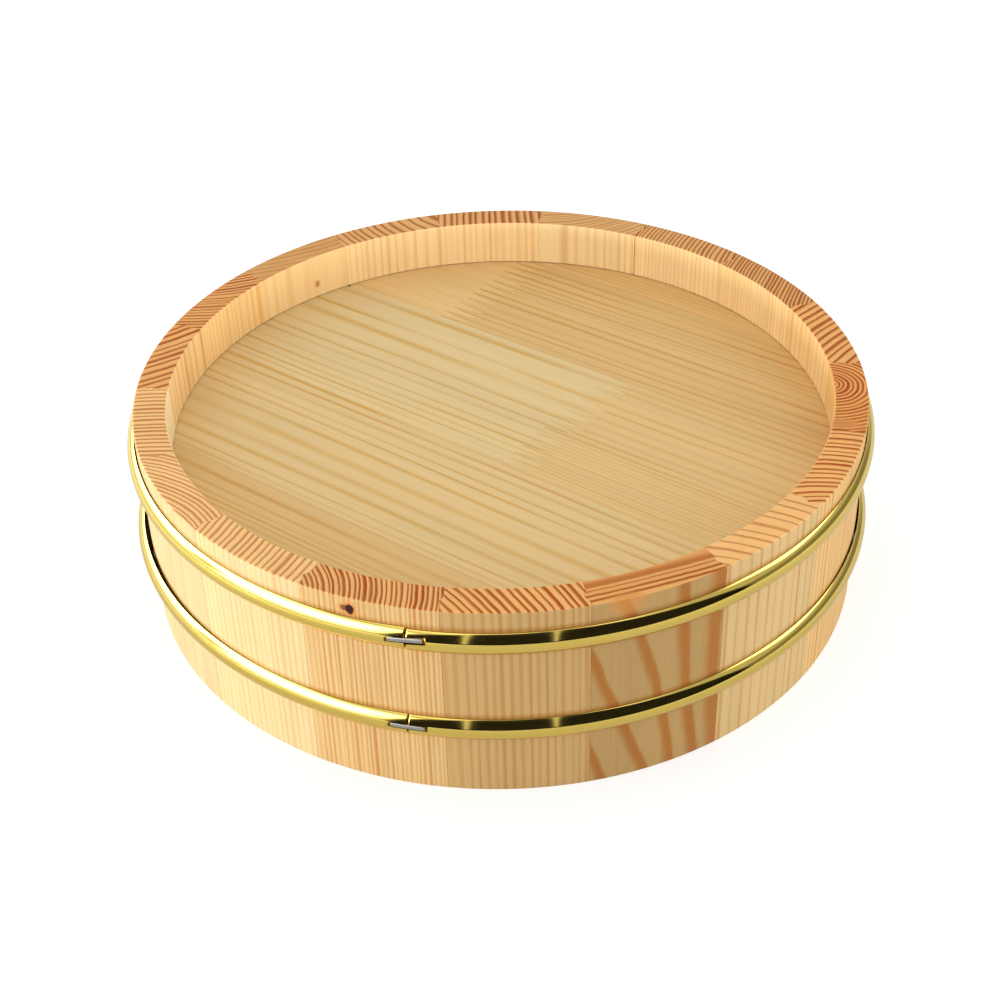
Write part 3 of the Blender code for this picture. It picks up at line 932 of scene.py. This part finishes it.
def strip_material(strip, softwood, sizes, colours):
    """The timber of one strip of the board, with its growth rings where the strip shows them."""
    material, tree, shader = new_material(strip.node + "_wood")
    coordinates = tree.node("ShaderNodeTexCoord").outputs
    origin = (0.0, 0.0, sizes.board_top)
    place = tree.seen_from(coordinates["Object"], origin, (0.0, 0.0, GRAIN_ANGLE), (MM, MM, MM))
    along, across, height = tree.split(place)
    place = tree.join(across, height, along)
    seed = (strip.seed * 91.0, strip.seed * 37.0, strip.seed * 53.0)
    spot = tree.vector("ADD", place, seed)
    noises = [tree.wander(spot, lumps) for lumps in BOARD_LUMPS]
    pushed = across
    for noise, push in zip(noises, BOARD_PUSH):
        pushed = tree.times_plus(noise, push, pushed)
    pushed = tree.times_plus(height, BOARD_LEAN, pushed)
    wood = tree.group(softwood, {
        "Place": place,
        "Rings": ring_count_at(tree, pushed, strip.rings),
        "End grain": 0.0,
        "Pale": tinted(colours.pale_board, strip.tone, strip.warmth),
        "Dark": tinted(colours.dark_board, strip.tone, strip.warmth),
        "Pale end": tinted(colours.pale_end, strip.tone, strip.warmth),
        "Dark end": tinted(colours.dark_end, strip.tone, strip.warmth),
        "Lines": strip.lines,
        "End lines": strip.lines,
        "Late wood": strip.late,
        "Softness": 0.8,
        "Fading": 0.6,
        "Figure": BOARD_FIGURE,
        "Seed": float(strip.seed) + 40.0,
    })
    finish_wood(tree, shader, wood, wood["Colour"], strip.node, colours)
    return material


# Metals

# Lumps of noise in the brass, as (along the hoop, round its section, 1) in mm: lines from drawing, a wave
# and a film of tarnish. Those in the steel are in metres: scratches and patches
DRAWN_LINES = (34, 0.16, 1)
SLOW_WAVE = (24, 30, 1)
FILM = (60, 3.5, 1)
SCRATCHES = (0.0006, 0.0006, 0.00008)
PATCHES = (0.003, 0.003, 0.003)

# How high the relief of the metals stands, how rough the brass is by itself, by its lines, by its film and
# on its back, and how rough the steel is
BRASS_RELIEF = 0.00002
STEEL_RELIEF = 0.00003
BRASS_ROUGH = 0.07
LINES_ROUGH = 0.05
FILM_ROUGH = 0.04
BACK_ROUGH = 0.5
STEEL_ROUGH = 0.42


def brass_material(name, colours):
    """Polished brass. Fine lines from drawing run along the band, and a long slow wave bends the gloss."""
    material, tree, shader = new_material(name)
    band = tree.shade(tree.node("ShaderNodeUVMap", uv_map="Band").outputs[0], 1 / MM)
    drawn = tree.wander(band, DRAWN_LINES, 2.0)
    wave = tree.wander(band, SLOW_WAVE, 1.0)
    film = tree.wander(band, FILM, 3.0)
    shader.inputs["Metallic"].default_value = 1.0
    base = tree.shade(tuple(colours.brass), tree.times_plus(film, 0.12, 1.0))
    # The back of the band is painted dark: dull tarnish, and painted shade in the gap behind the hoop
    back = tree.step(tree.split(band)["Y"], BACK_MARK / MM * 0.9, BACK_MARK / MM)
    tree.link(tree.blend(back, base, (*colours.tarnish_and_gap_shade, 1.0)), shader.inputs["Base Color"])
    roughness = tree.times_plus(drawn, LINES_ROUGH, BRASS_ROUGH)
    roughness = tree.times_plus(film, FILM_ROUGH, roughness)
    tree.link(tree.times_plus(back, BACK_ROUGH, roughness), shader.inputs["Roughness"])
    height = tree.times_plus(wave, 6.0, tree.times(drawn, 0.08))
    tree.relief(shader, 0.5, BRASS_RELIEF, height)
    return material


def steel_material(name, colours):
    """Brushed steel: short scratches across the key, and a slightly uneven sheen."""
    material, tree, shader = new_material(name)
    place = tree.node("ShaderNodeTexCoord").outputs["Object"]
    scratch = tree.wander(place, SCRATCHES, 2.0)
    patch = tree.wander(place, PATCHES, 2.0)
    shader.inputs["Metallic"].default_value = 1.0
    sheen = tree.shade(tuple(colours.steel), tree.times_plus(patch, 0.25, 1.0))
    tree.link(sheen, shader.inputs["Base Color"])
    tree.link(tree.times_plus(scratch, 0.25, STEEL_ROUGH), shader.inputs["Roughness"])
    tree.relief(shader, 0.4, STEEL_RELIEF, scratch)
    return material


# Operators


class TUB_OT_staves(Operator):
    """Makes the eighteen staves of the wall, each from its own timber"""

    bl_idname = "tub.staves"
    bl_label = "Staves"

    def execute(self, context):
        sizes = context.scene.tub_sizes
        colours = context.scene.tub_colours
        growth = growth_ring_group()
        softwood = softwood_group()
        for number in range(STAVE_COUNT):
            node = f"stave_{number + 1:02d}"
            before = OPEN_JOINTS.get(number, sizes.joint_gap)
            after = OPEN_JOINTS.get(number + 1, sizes.joint_gap)
            points, faces = stave_surface(number, before, after, sizes)
            material = stave_material(node, number, growth, softwood, sizes, colours)
            make_piece(node + "_turned", points, faces, material, node)
        return {"FINISHED"}


class TUB_OT_board(Operator):
    """Makes the raised board from its strips, two of which are finger jointed end to end"""

    bl_idname = "tub.board"
    bl_label = "Board"

    def execute(self, context):
        sizes = context.scene.tub_sizes
        softwood = bpy.data.node_groups["Softwood"]
        for strip in STRIPS:
            start = None if strip.start is None else strip.start * MM
            end = None if strip.end is None else strip.end * MM
            points, faces = strip_surface(strip.low * MM, strip.high * MM, start, end, sizes)
            material = strip_material(strip, softwood, sizes, context.scene.tub_colours)
            make_piece(strip.node + "_planed", points, faces, material, strip.node)
        return {"FINISHED"}


# Each hoop: where its ends meet, how far it stands off the wall at its left and right, how far its ends
# part in height, how far above its middle the key sits, and the key's tilt
Hoop = namedtuple("Hoop", "butt_angle slack end_step key_rise key_tilt")
HOOPS = {
    "upper": Hoop(radians(-103.37), (0.0006, 0.0003), 0.0007, 0.0015, radians(4.0)),
    "lower": Hoop(radians(-103.8), (0.0022, 0.0010), 0.0, 0.0009, 0.0),
}

# The slot for a key: how much further it reaches than the key along the hoop, up and in, how far out the
# block that cuts it reaches, and how its edges and the key's are eased
SLOT_ROOM = (0.0011, 0.0002, 0.0002)
SLOT_BLOCK = 0.004
SLOT_EASE = 0.0001
KEY_EASE = 0.0003


class TUB_OT_hoops(Operator):
    """Makes the two brass hoops and cuts the slot for the key into each"""

    bl_idname = "tub.hoops"
    bl_label = "Hoops"

    def execute(self, context):
        sizes = context.scene.tub_sizes
        material = brass_material("hoop_brass", context.scene.tub_colours)
        for which, hoop in HOOPS.items():
            node = f"hoop_{which}"
            low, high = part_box(node)
            middle = (low.z + high.z) / 2
            points, faces, flat_map = hoop_surface(hoop, middle, sizes)
            band = make_piece(node + "_rolled", points, faces, material, node, flat_map)
            room_along, room_up, room_in = SLOT_ROOM
            size = (SLOT_BLOCK, sizes.key_length + 2 * room_along, sizes.key_height + 2 * room_up)
            floor = hoop_crest(middle, sizes) - sizes.key_depth - room_in
            points, faces = bar_surface(hoop, size, SLOT_EASE, hoop.end_step, floor, middle, sizes)
            cut_slot(band, points, faces)
        return {"FINISHED"}


def cut_slot(band, points, faces):
    """Cuts a block out of a hoop and keeps the result as the hoop's own mesh."""
    mesh = bpy.data.meshes.new("slot")
    mesh.from_pydata(points.tolist(), [], faces.tolist())
    block = bpy.data.objects.new("slot", mesh)
    bpy.context.scene.collection.objects.link(block)
    cut = band.modifiers.new("Slot", "BOOLEAN")
    cut.operation = "DIFFERENCE"
    cut.solver = "EXACT"
    cut.object = block
    bpy.context.view_layer.update()
    evaluated = band.evaluated_get(bpy.context.evaluated_depsgraph_get())
    result = bpy.data.meshes.new_from_object(evaluated)
    band.modifiers.clear()
    band.data = result
    result.shade_smooth()
    result.set_sharp_from_angle(angle=SHADE_ANGLE)
    bpy.data.objects.remove(block, do_unlink=True)


class TUB_OT_keys(Operator):
    """Makes the steel key let in across the butt joint of each hoop"""

    bl_idname = "tub.keys"
    bl_label = "Keys"

    def execute(self, context):
        sizes = context.scene.tub_sizes
        material = steel_material("key_steel", context.scene.tub_colours)
        for which, hoop in HOOPS.items():
            low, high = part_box(f"hoop_{which}")
            middle = (low.z + high.z) / 2
            size = (sizes.key_depth, sizes.key_length, sizes.key_height)
            floor = hoop_crest(middle, sizes) - sizes.key_depth
            points, faces = bar_surface(hoop, size, KEY_EASE, 0.0, floor, middle, sizes)
            node = f"hoop_key_{which}"
            make_piece(node + "_filed", points, faces, material, node)
        return {"FINISHED"}


# Stage

LENS = 58.227
CAMERA_TARGET = Vector((-0.0013145, 0.0, 0.0232992))
CAMERA_DISTANCE = 0.77785
CAMERA_ELEVATION = radians(36.802)
CAMERA_ROLL = 0.0263617


def aim_camera(scene):
    """The camera looks along +Y and down, and is rolled a little."""
    forward = Vector((0.0, cos(CAMERA_ELEVATION), -sin(CAMERA_ELEVATION)))
    across = Vector((1.0, 0.0, 0.0))
    up = across.cross(forward)
    right = across * cos(CAMERA_ROLL) - up * sin(CAMERA_ROLL)
    top = across * sin(CAMERA_ROLL) + up * cos(CAMERA_ROLL)
    matrix = Matrix((right, top, -forward)).transposed().to_4x4()
    matrix.translation = CAMERA_TARGET - forward * CAMERA_DISTANCE
    data = bpy.data.cameras.new("camera")
    data.lens = LENS
    data.sensor_width = 36.0
    data.clip_start = 0.01
    camera = bpy.data.objects.new("camera", data)
    camera.matrix_world = matrix
    scene.collection.objects.link(camera)
    scene.camera = camera


def add_lamp(scene, name, place, target, size, power):
    """A soft flat lamp of this width and height that shines at the target."""
    data = bpy.data.lights.new(name, "AREA")
    data.shape = "RECTANGLE"
    data.size, data.size_y = size
    data.energy = power
    lamp = bpy.data.objects.new(name, data)
    away = Vector(place) - Vector(target)
    turned = away.to_track_quat("Z", "Y").to_matrix().to_4x4()
    lamp.matrix_world = Matrix.Translation(Vector(place)) @ turned
    scene.collection.objects.link(lamp)
    lamp.visible_camera = False
    lamp.visible_glossy = False


# The lamps: name, place, target, width and height, power in watts
LAMPS = (
    ("left", (-1.86, -0.46, 0.085), (0, 0, 0.085), (0.8, 0.15), 31.0),
    ("right", (1.85, -0.5, 0.12), (0, 0, 0.12), (0.8, 0.2), 12.0),
)

# The sky's strength at the horizon and overhead
SKY_LOW = 1.9
SKY_TOP = 0.6

# The slits of light in the studio's dark front. Each shows as an upright bar in the brass at one azimuth:
# that azimuth in degrees, how far its plane stands off the middle, half its width, and its strength
LIGHT_SLITS = ((-95.7, -0.0965, 0.009, 1.1), (-83.8, 0.1096, 0.008, 1.0))

# A patch of the studio that polished metal sees: its middle's azimuth, how far from there it is whole and
# how far from there it is gone, its low and high end if it has them, all in degrees, and how much light it
# adds or takes away
Patch = namedtuple("Patch", "azimuth whole gone low high light")
LEFT_BOX = Patch(173.0, 50.0, 72.0, None, None, 6.5)
LEFT_SHADE = Patch(177.5, 4.0, 7.0, 12.0, 32.0, 0.9)
RIGHT_BOX = Patch(47.0, 35.0, 48.0, 36.0, 56.0, 3.5)
DARK_HORIZON = Patch(5.0, 30.0, 45.0, None, 22.0, -0.55)
DARK_FRONT = Patch(-72.0, 49.0, 53.0, None, None, -0.97)


def light_world(scene):
    """A soft sky, brighter near the horizon, so that upright walls get nearly as much light as flat ones.

    The camera sees it white, and polished metal sees a studio: soft boxes, a dark front and a dark horizon.
    """
    world = bpy.data.worlds.new("studio")
    world.use_nodes = True
    scene.world = world
    tree = Tree(world.node_tree)
    direction = tree.node("ShaderNodeTexCoord").outputs["Generated"]
    x, y, z = tree.split(direction)
    azimuth = tree.math("ARCTAN2", y, x)
    elevation = tree.math("ARCSINE", z)

    def above(low, high):
        """0 below the first elevation in degrees, 1 above the second."""
        return tree.step(elevation, radians(low), radians(high))

    def below(low, high):
        """1 below the first elevation in degrees, 0 above the second."""
        return tree.step(elevation, radians(low), radians(high), 1.0, 0.0)

    def shape(patch):
        """1 inside a patch, 0 outside. Its low and high end each take four degrees."""
        turned = tree.math("WRAP", tree.minus(azimuth, radians(patch.azimuth)), pi, -pi)
        off = tree.math("ABSOLUTE", turned)
        inside = tree.step(off, radians(patch.whole), radians(patch.gone), 1.0, 0.0)
        if patch.low is not None:
            inside = tree.times(inside, above(patch.low - 2, patch.low + 2))
        if patch.high is not None:
            inside = tree.times(inside, below(patch.high - 2, patch.high + 2))
        return inside

    front = tree.times(shape(DARK_FRONT), below(80.0, 89.0))
    studio = tree.times_plus(above(62.0, 76.0), 0.8, 0.6)
    left_box = tree.times(shape(LEFT_BOX), below(46.0, 66.0))
    left_box = tree.times(left_box, above(0.0, 26.0))
    unshaded = tree.minus(1.0, tree.times(shape(LEFT_SHADE), LEFT_SHADE.light))
    studio = tree.times_plus(tree.times(left_box, unshaded), LEFT_BOX.light, studio)
    studio = tree.times_plus(shape(RIGHT_BOX), RIGHT_BOX.light, studio)
    horizon = tree.times_plus(shape(DARK_HORIZON), DARK_HORIZON.light, 1.0)
    studio = tree.times(studio, horizon)
    studio = tree.times(studio, tree.times_plus(front, DARK_FRONT.light, 1.0))
    seen = tree.times(above(2.0, 10.0), front)
    for degrees, off_middle, width, light in LIGHT_SLITS:
        turned = radians(degrees)
        off = tree.vector("DOT_PRODUCT", direction, (-sin(turned), cos(turned), 0.0))
        off = tree.math("ABSOLUTE", tree.minus(off, off_middle))
        slit = tree.step(off, 0.5 * width, 1.6 * width, 1.0, 0.0)
        studio = tree.times_plus(tree.times(slit, seen), light, studio)
    sky = tree.times_plus(tree.math("MAXIMUM", z, 0.0), SKY_TOP - SKY_LOW, SKY_LOW)
    rays = tree.node("ShaderNodeLightPath").outputs
    soft = tree.node("ShaderNodeMix", {0: rays["Is Glossy Ray"], 2: sky, 3: studio}).outputs[0]
    strength = tree.node("ShaderNodeMix", {0: rays["Is Camera Ray"], 2: soft, 3: 1.0}).outputs[0]
    background = world.node_tree.nodes["Background"]
    background.inputs["Color"].default_value = (1.0, 1.0, 1.0, 1.0)
    tree.link(strength, background.inputs["Strength"])


# The floor: how far it reaches, how bright the camera sees it, and how bright polished metal sees it along
# X, on the left and on the right: from where to where it changes, and from what to what
FLOOR_REACH = 6.0
FLOOR_GLOW = 0.6
FLOOR_LEFT = (-0.12, -0.5, 0.22, 0.75)
FLOOR_RIGHT = (0.15, 0.35, 0.0, 0.08)


def lay_floor(scene, colours):
    """A flat round floor, a grid of radius x angle. The camera sees it near white, darker in the shadow."""
    rings = np.geomspace(0.05, FLOOR_REACH, 24)
    turns = np.linspace(0, tau, 65)[:-1]
    radius, angle = np.meshgrid(rings, turns, indexing="ij")
    points = on_ring(radius.ravel(), angle.ravel(), np.zeros(radius.size))
    grid = np.arange(radius.size).reshape(radius.shape)
    faces = quads(np.column_stack([grid, grid[:, 0]])).tolist()
    faces.append(grid[0].tolist())
    mesh = bpy.data.meshes.new("floor")
    mesh.from_pydata(points.tolist(), [], faces)
    material, tree, shader = new_material("floor")
    shader.inputs["Base Color"].default_value = (*colours.floor, 1.0)
    shader.inputs["Roughness"].default_value = 0.9
    shader.inputs["Specular IOR Level"].default_value = 0.0
    shader.inputs["Emission Color"].default_value = (1.0, 1.0, 1.0, 1.0)
    rays = tree.node("ShaderNodeLightPath").outputs
    x = tree.split(tree.node("ShaderNodeTexCoord").outputs["Object"])["X"]
    mirrored = tree.math("ADD", tree.step(x, *FLOOR_LEFT), tree.step(x, *FLOOR_RIGHT))
    mirrored = tree.times(rays["Is Glossy Ray"], mirrored)
    seen = tree.times_plus(rays["Is Camera Ray"], FLOOR_GLOW, mirrored)
    tree.link(seen, shader.inputs["Emission Strength"])
    mesh.materials.append(material)
    floor = bpy.data.objects.new("floor", mesh)
    scene.collection.objects.link(floor)


class TUB_OT_stage(Operator):
    """Lays the floor, lights the tub and aims the camera"""

    bl_idname = "tub.stage"
    bl_label = "Stage"

    def execute(self, context):
        scene = context.scene
        scene.view_settings.view_transform = "Standard"
        lay_floor(scene, scene.tub_colours)
        light_world(scene)
        for lamp in LAMPS:
            add_lamp(scene, *lamp)
        aim_camera(scene)
        return {"FINISHED"}


class TUB_PT_panel(Panel):
    """Lists the steps that make the tub, with its sizes and colours"""

    bl_label = "Rice tub"
    bl_idname = "TUB_PT_panel"
    bl_space_type = "VIEW_3D"
    bl_region_type = "UI"
    bl_category = "Rice tub"

    def draw(self, context):
        for step in STEPS:
            self.layout.operator(step.bl_idname)
        for group in (context.scene.tub_sizes, context.scene.tub_colours):
            box = self.layout.box()
            for name in group.bl_rna.properties.keys():
                if name not in ("rna_type", "name"):
                    box.prop(group, name)


STEPS = (TUB_OT_staves, TUB_OT_board, TUB_OT_hoops, TUB_OT_keys, TUB_OT_stage)
CLASSES = (TubSizes, TubColours, *STEPS, TUB_PT_panel)


def register():
    for cls in CLASSES:
        bpy.utils.register_class(cls)
    bpy.types.Scene.tub_sizes = PointerProperty(type=TubSizes)
    bpy.types.Scene.tub_colours = PointerProperty(type=TubColours)


def unregister():
    del bpy.types.Scene.tub_colours
    del bpy.types.Scene.tub_sizes
    for cls in reversed(CLASSES):
        bpy.utils.unregister_class(cls)


def clear_startup_objects():
    """Removes what Blender starts with, and leaves the frame."""
    for name in ("Cube", "Light", "Camera"):
        if name in bpy.data.objects:
            bpy.data.objects.remove(bpy.data.objects[name], do_unlink=True)


def main():
    clear_startup_objects()
    register()
    for step in STEPS:
        group, action = step.bl_idname.split(".")
        getattr(getattr(bpy.ops, group), action)()


if __name__ == "__main__":
    main()
